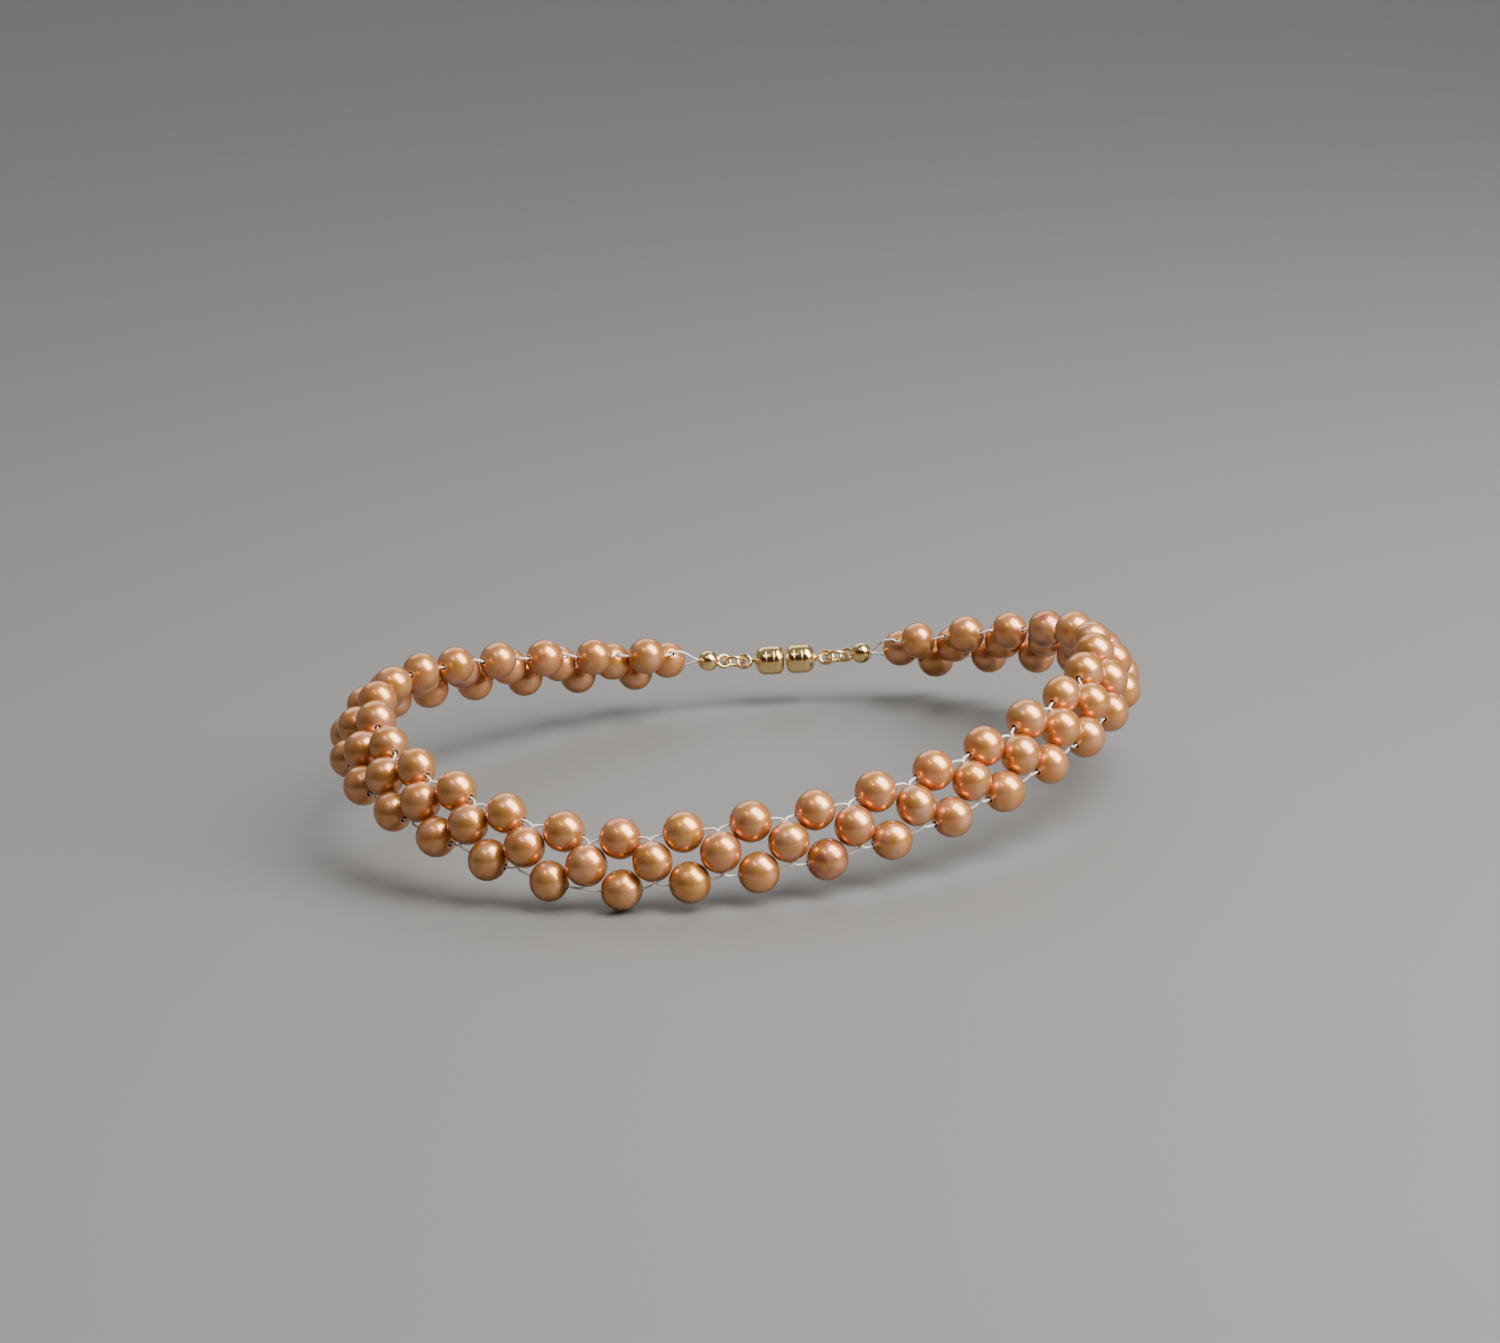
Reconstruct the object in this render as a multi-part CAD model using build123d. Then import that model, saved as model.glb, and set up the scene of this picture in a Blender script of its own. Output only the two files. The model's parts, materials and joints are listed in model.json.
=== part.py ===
from build123d import *
import bisect
import math
import os

# A choker of drilled pearls woven on two strands of clear thread.
# Three rows: each unit has a top and a bottom pearl, drilled along the band, and one middle
# pearl, drilled across the band, stands between each unit and the next.
# +Z is up, -Y is the front of the neck, +X is the wearer's left.
# The origin is the middle of the neck, at the mean height of the band's middle row.

# Driving dimensions, in millimetres and degrees

# Pearls
pearl_diameter = 6.95
pearl_spread = 0.10          # most that one pearl's diameter differs from the mean
spread_by_number = 2.4       # radians that the difference's wave moves from pearl to pearl
spread_by_row = 1.7          # and from row to row
pearl_gap = 0.1             # free space between an outer pearl and a middle pearl
weave_angle = 37.0           # slope of the line from a middle pearl to an outer one
middle_proud = 0.8           # the middle row stands this far out of the band

# Thread, two strands
thread_diameter = 0.42
strand_gap = 0.06            # between the strands where they pass in a middle pearl
bore_clearance = 0.065       # between the strands and a pearl's bore
mouth_lead = 0.15            # straight thread outside an outer pearl's mouth
mouth_rise = 0.4             # height of the thread's turn above a middle pearl's mouth
mouth_turn_radius = 0.6
middle_turn_radius = 0.6
hinge_gap = 0.1              # between the two segments' thread, halfway down a hinge pearl's bore

# The band
side_segments = 5            # on each side of the front unit
units_per_segment = 3
loop_aspect = 0.843          # depth over width, seen from above
loop_lay = 20.5              # turn of the loop's long axis away from side to side
side_rise = 2.75             # the sides stand this far above the mean height, the front below it
dip_depth = 2.5              # a local dip beside the front
dip_place = -14.7
dip_spread = 11.0
flare_mean = 38.0            # the band leans outward below, by this angle from upright
flare_swing = 16.5           # less across the front and more at the back

# Magnetic clasp, one half
clasp_diameter = 5.6
clasp_length = 5.5
clasp_gap = 0.42             # between the two halves' faces when shut
clasp_rim_radius = 1.4
clasp_end_radius = 1.9
magnet_length = 2.6
magnet_lip = 0.1             # flat ring of the clasp's face left round the magnet
magnet_recess = 0.05

# Wire rings
eye_wire = 0.8
eye_hole = 1.7
eye_stem_length = 1.0
eye_stem_seat = 0.7          # length of the stem inside the clasp
jump_wire = 0.7
jump_hole = 3.3
jump_split = 0.08

# Bead tip, a folded cup that hides the crimped end of the thread
tip_diameter = 4.0
tip_wall = 0.35
tip_split = 0.12
tip_loop_wire = 0.7
tip_loop_sink = 0.5          # the loop's outer edge lies this far inside the cup's surface
crimp_wall = 0.35
crimp_length = 1.2
thread_end_length = 0.35     # thread showing past the crimp
tip_mouth_lead = 0.3
tail_lead = 2.3              # from the last pearl's surface to the bead tip, along the band
tail_reach = 2.2             # the tail leaves the last pearl's mouth this far before turning in
tail_turn_radius = 0.6

# Sizes that follow from these
unit_count = 1 + 2 * side_segments * units_per_segment
bore_diameter = 2 * thread_diameter + strand_gap + 2 * bore_clearance
strand_offset = (thread_diameter + strand_gap) / 2
centre_distance = math.sqrt((pearl_diameter + pearl_gap) ** 2 - middle_proud ** 2)
unit_pitch = 2 * centre_distance * math.cos(math.radians(weave_angle))
band_length = unit_count * unit_pitch

eye_radius = (eye_hole + eye_wire) / 2
jump_radius = (jump_hole + jump_wire) / 2
link_spacing = 2 * jump_radius
tip_loop_radius = (eye_hole + tip_loop_wire) / 2
clasp_reach = clasp_length + eye_stem_length + eye_radius
tip_centre = tip_loop_radius + tip_loop_wire / 2 - tip_loop_sink + tip_diameter / 2
tip_mouth = tip_centre + tip_diameter / 2
tail_length = pearl_diameter / 2 + tail_lead
hardware_length = 2 * (clasp_gap / 2 + clasp_reach + link_spacing + tip_mouth + tail_length)


# The line of the band

STEPS_ROUND = 1440
HALVINGS = 24                # narrowings of the search for the loop's half width
SEARCH_LOW = 0.5             # its ends, as shares of the radius of a circle as long as the band
SEARCH_HIGH = 2.0
DIRECTION_STEP = 0.1         # degrees either side of a place, to find the way along the loop


def loop_point(angle, half_width):
    """Middle line of the band, angle 0 at the front and growing towards +X: an ellipse seen from
    above, low at the front and back, high at the sides, with one local dip."""
    half_depth = half_width * loop_aspect
    turn = math.radians(angle - loop_lay)
    along = half_width * math.sin(turn)
    across = -half_depth * math.cos(turn)
    front = math.atan(math.tan(math.radians(loop_lay)) / loop_aspect)
    x = along * math.cos(front) - across * math.sin(front)
    y = along * math.sin(front) + across * math.cos(front)
    dip = dip_depth * math.exp(-(((angle - dip_place) / dip_spread) ** 2))
    z = -2 * side_rise * math.cos(2 * math.radians(angle)) - dip
    return Vector(x, y, z)


def loop_lengths(half_width):
    """Length along the loop from the front, at equal steps of angle from -180 to 180."""
    angles = [360 * step / STEPS_ROUND - 180 for step in range(STEPS_ROUND + 1)]
    points = [loop_point(angle, half_width) for angle in angles]
    lengths = [0.0]
    for start, end in zip(points, points[1:]):
        lengths.append(lengths[-1] + (end - start).length)
    front_length = lengths[STEPS_ROUND // 2]
    return angles, [length - front_length for length in lengths]


def fitted_half_width():
    """The half width at which the loop is as long as the band and its clasp."""
    low = SEARCH_LOW * band_length / (2 * math.pi)
    high = SEARCH_HIGH * band_length / (2 * math.pi)
    for _ in range(HALVINGS):
        middle = (low + high) / 2
        lengths = loop_lengths(middle)[1]
        if lengths[-1] - lengths[0] > band_length + hardware_length:
            high = middle
        else:
            low = middle
    return (low + high) / 2


loop_half_width = fitted_half_width()
loop_angles, loop_distances = loop_lengths(loop_half_width)


def angle_at(distance):
    """The angle at a distance along the loop from the front."""
    above = bisect.bisect_left(loop_distances, distance)
    above = min(max(above, 1), STEPS_ROUND)
    span = loop_distances[above] - loop_distances[above - 1]
    share = (distance - loop_distances[above - 1]) / span
    return loop_angles[above - 1] + share * (loop_angles[above] - loop_angles[above - 1])


class BandFrame:
    """A place on the band: its point, the way along, the way across to the top row, and outward."""

    def __init__(self, distance):
        angle = angle_at(distance)
        self.point = loop_point(angle, loop_half_width)
        ahead = loop_point(angle + DIRECTION_STEP, loop_half_width)
        behind = loop_point(angle - DIRECTION_STEP, loop_half_width)
        self.along = (ahead - behind).normalized()
        level_out = Vector(self.along.Y, -self.along.X, 0).normalized()
        upright = level_out.cross(self.along).normalized()
        if upright.Z < 0:
            upright = upright * -1
        flare = math.radians(flare_mean - flare_swing * math.cos(math.radians(angle - loop_lay)))
        self.across = upright * math.cos(flare) - level_out * math.sin(flare)
        self.outward = upright * math.sin(flare) + level_out * math.cos(flare)


# Pearls

MIDDLE, TOP, BOTTOM = 0, 1, -1


def pearl_size(number, row):
    """Diameter of one pearl: the mean, and a small difference that never repeats round the band."""
    return pearl_diameter + pearl_spread * math.sin(spread_by_number * number + spread_by_row * row)


middle_frames = [BandFrame((number - unit_count / 2) * unit_pitch) for number in range(unit_count + 1)]
unit_frames = [BandFrame((number - (unit_count - 1) / 2) * unit_pitch) for number in range(unit_count)]


def middle_centre(number):
    frame = middle_frames[number]
    return frame.point + frame.outward * middle_proud


def outer_centre(number, row):
    """The place in the unit's plane, across from the middle row, that keeps the gap to both of the
    unit's middle pearls: where two circles round them in that plane cross, by a quadratic."""
    frame = unit_frames[number]
    across = frame.across * row
    starts = [frame.point - middle_centre(neighbour) for neighbour in (number, number + 1)]
    powers = []
    for start, neighbour in zip(starts, (number, number + 1)):
        apart = (pearl_size(number, row) + pearl_size(neighbour, MIDDLE)) / 2 + pearl_gap
        powers.append(start.dot(start) - apart ** 2)
    between = starts[0] - starts[1]
    slide = (powers[1] - powers[0]) / (2 * frame.along.dot(between))
    lean = -across.dot(between) / frame.along.dot(between)
    square = 1 + lean ** 2
    half = slide * lean + across.dot(starts[0]) + lean * frame.along.dot(starts[0])
    rest = slide ** 2 + 2 * slide * frame.along.dot(starts[0]) + powers[0]
    rise = (math.sqrt(half ** 2 - square * rest) - half) / square
    return frame.point + across * rise + frame.along * (slide + lean * rise)


def outer_axis(number, row):
    """The way along an outer pearl's bore, from one middle pearl's mouth to the next one's."""
    reach = row * pearl_diameter / 2
    start = middle_centre(number) + middle_frames[number].across * reach
    end = middle_centre(number + 1) + middle_frames[number + 1].across * reach
    return (end - start).normalized()


def drilled_pearl(centre, axis, diameter):
    pearl = Sphere(diameter / 2) - Cylinder(bore_diameter / 2, 2 * diameter)
    return Plane(origin=centre, z_dir=axis) * pearl


def outer_pearl(number, row):
    return drilled_pearl(outer_centre(number, row), outer_axis(number, row), pearl_size(number, row))


def middle_pearl(number):
    return drilled_pearl(middle_centre(number), middle_frames[number].across, pearl_size(number, MIDDLE))


# Thread


def outer_mouth(number, row, end):
    """Where the thread turns just outside an outer pearl; end is -1 before it and 1 after it."""
    reach = pearl_size(number, row) / 2 + mouth_lead
    return outer_centre(number, row) + outer_axis(number, row) * (end * reach)


def middle_mouth(number, row, strand):
    """Where a strand turns into a middle pearl's bore, on its own side of the bore."""
    frame = middle_frames[number]
    reach = pearl_size(number, MIDDLE) / 2 + mouth_rise
    return middle_centre(number) + frame.across * (row * reach) + frame.outward * (strand * strand_offset)


def strand_row(number, strand):
    """The row of the outer pearl that a strand passes in a unit: it changes sides at every unit."""
    return strand if number % 2 else -strand


def bore_stop(number, row, strand):
    """Where a segment's strand stops, halfway down the bore of the middle pearl that is its hinge."""
    frame = middle_frames[number]
    lift = frame.across * (row * hinge_gap / 2)
    return middle_centre(number) + lift + frame.outward * (strand * strand_offset)


def tube(points, radii):
    """A thread along straight runs joined by tangent arcs."""
    path = FilletPolyline(*points, radius=radii)
    section = Plane(origin=path @ 0, z_dir=path % 0) * Circle(thread_diameter / 2)
    return sweep(section, path=path)


def tail_points(side, strand):
    """Corners of one thread end, from the last middle pearl's far mouth to the crimp's far end."""
    number = 0 if side < 0 else unit_count
    last_unit = 0 if side < 0 else unit_count - 1
    row = -strand_row(last_unit, strand)
    frame = middle_frames[number]
    tip = bead_tip_frame(side)
    far_mouth = middle_mouth(number, row, strand)
    turn = far_mouth + tip.x_dir * tail_reach
    beside = tip.z_dir * (row * strand_offset)
    mouth = tip.origin - tip.x_dir * (tip_mouth + tip_mouth_lead) + beside
    stop = tip.origin - tip.x_dir * (tip_centre - crimp_length / 2 - thread_end_length) + beside
    return [far_mouth, turn, mouth, stop]


def strand_tube(first, last, strand, side):
    """One strand through units first to last. It ends in the hinge pearls' bores, or, where the
    band ends, in the bead tip."""
    points = []
    radii = []
    for number in range(first, last + 1):
        row = strand_row(number, strand)
        points += [middle_mouth(number, row, strand), outer_mouth(number, row, -1)]
        points += [outer_mouth(number, row, 1), middle_mouth(number + 1, row, strand)]
        radii += [middle_turn_radius, mouth_turn_radius, mouth_turn_radius, middle_turn_radius]
    tail_radii = [middle_turn_radius, middle_turn_radius, tail_turn_radius]
    if side < 0 and first == 0:
        points = tail_points(side, strand)[::-1] + points
        radii = tail_radii[::-1] + radii
    else:
        points = [bore_stop(first, strand_row(first, strand), strand)] + points
    if side > 0 and last == unit_count - 1:
        points += tail_points(side, strand)
        radii += tail_radii
    else:
        points += [bore_stop(last + 1, strand_row(last, strand), strand)]
    return tube(points, radii)


# Clasp, rings and bead tips
# A hardware frame has its x_dir along the chain towards the clasp's middle, its z_dir across the
# band, and its origin at the link where the piece hangs.


def hardware_plane(origin, toward, across):
    along = toward.normalized()
    square_across = (across - along * across.dot(along)).normalized()
    return Plane(origin=origin, x_dir=along, z_dir=square_across)


def clasp_frame(side):
    """The clasp half's frame at its eye. The two halves lie on one line at the back of the neck."""
    back = BandFrame(side * (band_length + hardware_length) / 2)
    inward = back.along * side
    eye = back.point - inward * (clasp_gap / 2 + clasp_reach)
    return hardware_plane(eye, inward, back.across)


def chain_frame(side, distance):
    """A frame on the straight line from the clasp's eye to the last pearl, this far from the eye."""
    clasp = clasp_frame(side)
    number = 0 if side < 0 else unit_count
    last_pearl = middle_centre(number)
    toward = clasp.origin - last_pearl
    origin = clasp.origin - toward.normalized() * distance
    return hardware_plane(origin, toward, middle_frames[number].across)


def jump_frame(side):
    return chain_frame(side, link_spacing / 2)


def bead_tip_frame(side):
    return chain_frame(side, link_spacing)


def clasp_shell(side):
    """A barrel with a rounded rim at its face, a pocket for the magnet and a hole for the eye."""
    start = eye_radius + eye_stem_length
    barrel = Cylinder(clasp_diameter / 2, clasp_length, align=(Align.CENTER, Align.CENTER, Align.MIN))
    barrel = fillet(barrel.edges().sort_by(Axis.Z)[-1], clasp_rim_radius)
    barrel = fillet(barrel.edges().sort_by(Axis.Z)[0], clasp_end_radius)
    pocket_depth = magnet_length + magnet_recess
    pocket = Pos(0, 0, clasp_length - pocket_depth) * Cylinder(
        magnet_radius(), pocket_depth, align=(Align.CENTER, Align.CENTER, Align.MIN)
    )
    stem_hole = Cylinder(eye_wire / 2, eye_stem_seat, align=(Align.CENTER, Align.CENTER, Align.MIN))
    shell = Pos(0, 0, start) * (barrel - pocket - stem_hole)
    return clasp_frame(side) * Rot(0, 90, 0) * shell


def magnet_radius():
    """The magnet fills the flat of the face, less a thin lip."""
    return clasp_diameter / 2 - clasp_rim_radius - magnet_lip


def clasp_magnet(side):
    start = eye_radius + eye_stem_length + clasp_length - magnet_recess - magnet_length
    magnet = Cylinder(magnet_radius(), magnet_length, align=(Align.CENTER, Align.CENTER, Align.MIN))
    return clasp_frame(side) * Rot(0, 90, 0) * Pos(0, 0, start) * magnet


def clasp_eye(side):
    """A ring on a stem that is soldered into the clasp's end."""
    stem_length = eye_stem_length + eye_stem_seat + eye_wire / 2
    stem = Cylinder(eye_wire / 2, stem_length, align=(Align.CENTER, Align.CENTER, Align.MIN))
    stem = Rot(0, 90, 0) * Pos(0, 0, eye_radius - eye_wire / 2) * stem
    stem -= Cylinder(eye_radius, 2 * eye_wire)
    return clasp_frame(side) * (Torus(eye_radius, eye_wire / 2) + stem)


def jump_ring(side):
    """A wire ring in the plane across the band, cut where its ends butt."""
    ring = Rot(90, 0, 0) * Torus(jump_radius, jump_wire / 2)
    split = Pos(0, 0, jump_radius) * Box(jump_split, 2 * jump_wire, 2 * jump_wire)
    return jump_frame(side) * (ring - split)


def bead_tip(side):
    """A hollow cup, split round one side, with a hole for the thread and a loop for the jump ring."""
    centre = Pos(-tip_centre, 0, 0)
    cavity = centre * Sphere(tip_diameter / 2 - tip_wall)
    hole_radius = strand_offset + thread_diameter / 2 + bore_clearance
    hole = Pos(-tip_mouth, 0, 0) * Rot(0, 90, 0) * Cylinder(hole_radius, 2 * tip_wall + hole_radius)
    split = Pos(-tip_centre - tip_wall, tip_diameter / 2, 0) * Box(tip_diameter, tip_diameter, tip_split)
    cup = centre * Sphere(tip_diameter / 2) + Torus(tip_loop_radius, tip_loop_wire / 2)
    return bead_tip_frame(side) * (cup - cavity - hole - split)


def crimp_bead(side):
    """A short tube squeezed on the two thread ends inside the bead tip."""
    inner = strand_offset + thread_diameter / 2 + bore_clearance / 2
    ring = Cylinder(inner + crimp_wall, crimp_length) - Cylinder(inner, 2 * crimp_length)
    return bead_tip_frame(side) * Pos(-tip_centre, 0, 0) * Rot(0, 90, 0) * ring


# The nodes


def write_node(name, solids):
    shape = solids[0] if len(solids) == 1 else Compound(children=solids)
    export_step(shape, os.path.join("parts", name + ".step"))


def write_segment(name, first, last, middles, side):
    """The rows of pearls and the thread of one run of units."""
    numbers = range(first, last + 1)
    count_word = "pearl" if first == last else "pearls"
    write_node(name + "_top_" + count_word, [outer_pearl(number, TOP) for number in numbers])
    write_node(name + "_bottom_" + count_word, [outer_pearl(number, BOTTOM) for number in numbers])
    write_node(name + "_middle_pearls", [middle_pearl(number) for number in middles])
    write_node(name + "_thread", [strand_tube(first, last, strand, side) for strand in (-1, 1)])


def main():
    os.makedirs("parts", exist_ok=True)
    front = side_segments * units_per_segment
    write_segment("front", front, front, [front, front + 1], 0)
    for side, side_name in ((-1, "right"), (1, "left")):
        for segment in range(1, side_segments + 1):
            near = front + side * (1 + (segment - 1) * units_per_segment)
            far = near + side * (units_per_segment - 1)
            first, last = min(near, far), max(near, far)
            middles = [number + (1 if side > 0 else 0) for number in range(first, last + 1)]
            write_segment("%s_%d" % (side_name, segment), first, last, middles, side)
        write_node(side_name + "_bead_tip", [bead_tip(side)])
        write_node(side_name + "_crimp_bead", [crimp_bead(side)])
        write_node(side_name + "_jump_ring", [jump_ring(side)])
        write_node(side_name + "_clasp_eye", [clasp_eye(side)])
        write_node(side_name + "_clasp_shell", [clasp_shell(side)])
        write_node(side_name + "_clasp_magnet", [clasp_magnet(side)])
    print("loop half width", round(loop_half_width, 2), "unit pitch", round(unit_pitch, 3))
    print("loop length", round(loop_distances[-1] - loop_distances[0], 1))


main()
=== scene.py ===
import json
import math

import bpy
import numpy as np
from mathutils import Matrix, Vector

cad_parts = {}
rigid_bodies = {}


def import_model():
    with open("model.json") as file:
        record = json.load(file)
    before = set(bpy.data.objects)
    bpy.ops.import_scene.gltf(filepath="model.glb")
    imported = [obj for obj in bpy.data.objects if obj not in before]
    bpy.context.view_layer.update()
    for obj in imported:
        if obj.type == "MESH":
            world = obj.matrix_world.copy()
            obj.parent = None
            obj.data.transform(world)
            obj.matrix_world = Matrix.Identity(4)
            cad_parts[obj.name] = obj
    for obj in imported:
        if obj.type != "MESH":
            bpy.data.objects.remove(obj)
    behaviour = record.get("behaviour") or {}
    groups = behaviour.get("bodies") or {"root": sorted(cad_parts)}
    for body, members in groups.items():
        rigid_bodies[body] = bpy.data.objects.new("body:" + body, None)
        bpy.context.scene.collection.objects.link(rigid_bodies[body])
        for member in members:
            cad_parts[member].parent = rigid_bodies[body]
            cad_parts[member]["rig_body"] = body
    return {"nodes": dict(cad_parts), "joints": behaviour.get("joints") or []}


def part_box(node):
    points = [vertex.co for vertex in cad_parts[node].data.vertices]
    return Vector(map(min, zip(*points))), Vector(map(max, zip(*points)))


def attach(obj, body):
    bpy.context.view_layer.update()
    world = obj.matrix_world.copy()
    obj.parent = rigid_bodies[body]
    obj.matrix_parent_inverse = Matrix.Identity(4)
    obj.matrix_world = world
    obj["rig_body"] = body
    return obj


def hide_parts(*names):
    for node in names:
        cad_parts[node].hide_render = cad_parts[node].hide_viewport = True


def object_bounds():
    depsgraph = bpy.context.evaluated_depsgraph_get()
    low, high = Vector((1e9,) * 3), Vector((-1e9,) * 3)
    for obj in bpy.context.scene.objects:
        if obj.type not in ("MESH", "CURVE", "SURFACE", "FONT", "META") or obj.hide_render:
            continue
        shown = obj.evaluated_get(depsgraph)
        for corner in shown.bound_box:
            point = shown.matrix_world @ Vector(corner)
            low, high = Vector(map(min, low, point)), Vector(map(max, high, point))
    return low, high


bl_info = {
    "name": "Woven pearl choker",
    "version": (1, 0, 0),
    "blender": (4, 5, 0),
    "location": "3D View > Sidebar > Pearls",
    "description": "Finishes a choker of drilled pearls woven on clear thread, with its magnetic clasp",
    "category": "Object",
}

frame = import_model()
cad_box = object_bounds()

MM = 0.001
SIDES = ("right", "left")
ROWS = ("top", "middle", "bottom")


# Meshes from arrays


def grid_faces(rows, columns, closed_rows, closed_columns, first=0):
    """Quads of a grid of points numbered along its rows, joined round where a way is closed."""
    row = np.arange(rows if closed_rows else rows - 1)
    column = np.arange(columns if closed_columns else columns - 1)
    row, column = np.meshgrid(row, column, indexing="ij")
    next_row, next_column = (row + 1) % rows, (column + 1) % columns
    corners = [row * columns + column, row * columns + next_column,
               next_row * columns + next_column, next_row * columns + column]
    return np.stack(corners, -1).reshape(-1, 4) + first


def new_piece(name, grids, material, attributes=None):
    """A smooth mesh object of several grids. A grid is (points, closed_rows, closed_columns), its
    points a rows by columns by 3 array. A grid open along its rows is a tube, and is capped."""
    points, quads, caps, first = [], [], [], 0
    for grid, closed_rows, closed_columns in grids:
        rows, columns = grid.shape[:2]
        quads.append(grid_faces(rows, columns, closed_rows, closed_columns, first))
        if not closed_rows:
            start = first + np.arange(columns)
            caps += [start[::-1].tolist(), (start + (rows - 1) * columns).tolist()]
        points.append(grid.reshape(-1, 3))
        first += rows * columns
    mesh = bpy.data.meshes.new(name)
    mesh.from_pydata(np.concatenate(points), [], np.concatenate(quads).tolist() + caps)
    mesh.shade_smooth()
    for label, (kind, values) in (attributes or {}).items():
        made = mesh.attributes.new(label, kind, "POINT")
        field = {"FLOAT": "value", "FLOAT_VECTOR": "vector", "FLOAT_COLOR": "color"}[kind]
        made.data.foreach_set(field, np.ascontiguousarray(values, np.float32).ravel())
    piece = bpy.data.objects.new(name, mesh)
    bpy.context.scene.collection.objects.link(piece)
    mesh.materials.append(material)
    return piece


def vertex_places(mesh):
    """Every vertex of a mesh, as one array of points."""
    places = np.empty(len(mesh.vertices) * 3)
    mesh.vertices.foreach_get("co", places)
    return places.reshape(-1, 3)


def unit(vectors):
    return vectors / np.linalg.norm(vectors, axis=-1, keepdims=True)


def square_to(vector, axis):
    """The part of a vector at right angles to an axis, at unit length."""
    return unit(vector - axis * np.sum(vector * axis, axis=-1, keepdims=True))


TIP_STEPS = 4        # rings in the rounded tip at each end of a tube


def tube(line, outward, radius, sides=12):
    """A round tube along a line of points: at each point a circle of the radius, in the plane square
    to the line, turned so that its first point faces outward. Its ends shrink to a rounded tip."""
    travel = unit(np.gradient(line, axis=0))
    first = square_to(outward, travel)
    second = np.cross(travel, first)
    tip = np.linspace(0, math.pi / 2, TIP_STEPS + 1)[1:]
    swell, lead = np.sin(tip) * radius, (1 - np.cos(tip)) * radius
    line = np.concatenate([line[:1] + travel[:1] * lead[:, None], line[1:-1],
                           line[-1:] - travel[-1:] * lead[::-1, None]])
    radii = np.concatenate([swell, np.full(len(travel) - 2, radius), swell[::-1]])
    repeats = np.ones(len(travel), int)
    repeats[[0, -1]] = TIP_STEPS
    first, second = np.repeat(first, repeats, 0), np.repeat(second, repeats, 0)
    angle = np.linspace(0, 2 * math.pi, sides, endpoint=False)[None, :, None]
    ring = first[:, None] * np.cos(angle) + second[:, None] * np.sin(angle)
    return line[:, None] + ring * radii[:, None, None]


def rounded_route(corners, reach, steps=7):
    """A route through corners: straight runs, and round each corner a parabola that leaves its runs
    at the reach before and after it. The reach is one number, or one for each inner corner."""
    runs = np.diff(corners, axis=0)
    lengths = np.linalg.norm(runs, axis=1, keepdims=True)
    way = runs / lengths
    turn = corners[1:-1]
    reach = np.broadcast_to(reach, len(turn))[:, None]
    near = np.minimum(reach, 0.45 * np.minimum(lengths[:-1], lengths[1:]))
    share = np.linspace(0, 1, steps)[None, :, None]
    start, end = (turn - way[:-1] * near)[:, None], (turn + way[1:] * near)[:, None]
    bends = start * (1 - share) ** 2 + turn[:, None] * 2 * share * (1 - share) + end * share ** 2
    return np.concatenate([corners[:1], bends.reshape(-1, corners.shape[1]), corners[-1:]])


# The pearls of the frame

BORE_REACH = 0.8          # faces nearer a pearl's middle than this share of its radius line its bore
PEARL_BREAK = 1 * MM      # a break along a row, wider than this, divides two pearls


class Pearl:
    """A drilled pearl of the frame: its middle, the way along its bore, its radius and its bore's."""

    def __init__(self, corners, middles, node, row):
        low, high = corners.reshape(-1, 3).min(0), corners.reshape(-1, 3).max(0)
        self.centre = (low + high) / 2
        self.radius = np.linalg.norm(corners - self.centre, axis=-1).max()
        inside = np.linalg.norm(middles - self.centre, axis=-1) < BORE_REACH * self.radius
        wall = corners[inside].reshape(-1, 3) - self.centre
        axis = np.linalg.svd(wall, full_matrices=False)[2][0]
        round_band = np.cross((0, 0, 1), self.centre)
        ahead = np.dot(axis, (0, 0, 1) if row == "middle" else round_band)
        self.axis = axis if ahead > 0 else -axis
        self.bore = np.linalg.norm(wall - np.outer(wall @ axis, axis), axis=1).mean()
        self.node, self.body = node, frame["nodes"][node]["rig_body"]
        self.place = math.atan2(self.centre[0], -self.centre[1])


def pearls_of(node, row):
    """The pearls of a CAD node, told apart by the gaps between them along their row."""
    mesh = frame["nodes"][node].data
    ends = np.empty(len(mesh.loops), int)
    mesh.loops.foreach_get("vertex_index", ends)
    corners = vertex_places(mesh)[ends.reshape(-1, 3)]
    middles = corners.mean(axis=1)
    spread = middles - middles.mean(axis=0)
    along = spread @ np.linalg.svd(spread, full_matrices=False)[2][0]
    order = np.argsort(along)
    breaks = np.flatnonzero(np.diff(along[order]) > PEARL_BREAK) + 1
    return [Pearl(corners[group], middles[group], node, row) for group in np.split(order, breaks)]


def band_rows():
    """Every pearl of each row, in order round the band from one side of the clasp to the other."""
    rows = {}
    for row in ROWS:
        nodes = sorted(n for n in frame["nodes"] if "_%s_pearl" % row in n)
        rows[row] = sorted((p for n in nodes for p in pearls_of(n, row)), key=lambda p: p.place)
    return rows


band = band_rows()


def middle_outward(number):
    """Outward from the band at a middle pearl: square to its bore and to the way along the band."""
    last = len(band["top"]) - 1
    before, after = max(number - 1, 0), min(number, last)
    if before == after:
        before, after = (0, 1) if number == 0 else (last - 1, last)
    along = band["top"][after].centre + band["bottom"][after].centre
    along = along - band["top"][before].centre - band["bottom"][before].centre
    return unit(np.cross(unit(along), band["middle"][number].axis))


# Materials


class Wire:
    """A socket of a material. Arithmetic with it adds Math nodes to the material."""

    def __init__(self, recipe, socket):
        self.recipe, self.socket = recipe, socket

    def _with(self, operation, left, right):
        return self.recipe.node("ShaderNodeMath", {"operation": operation}, {0: left, 1: right})

    def __add__(self, other): return self._with("ADD", self, other)
    def __radd__(self, other): return self._with("ADD", other, self)
    def __sub__(self, other): return self._with("SUBTRACT", self, other)
    def __mul__(self, other): return self._with("MULTIPLY", self, other)


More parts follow.
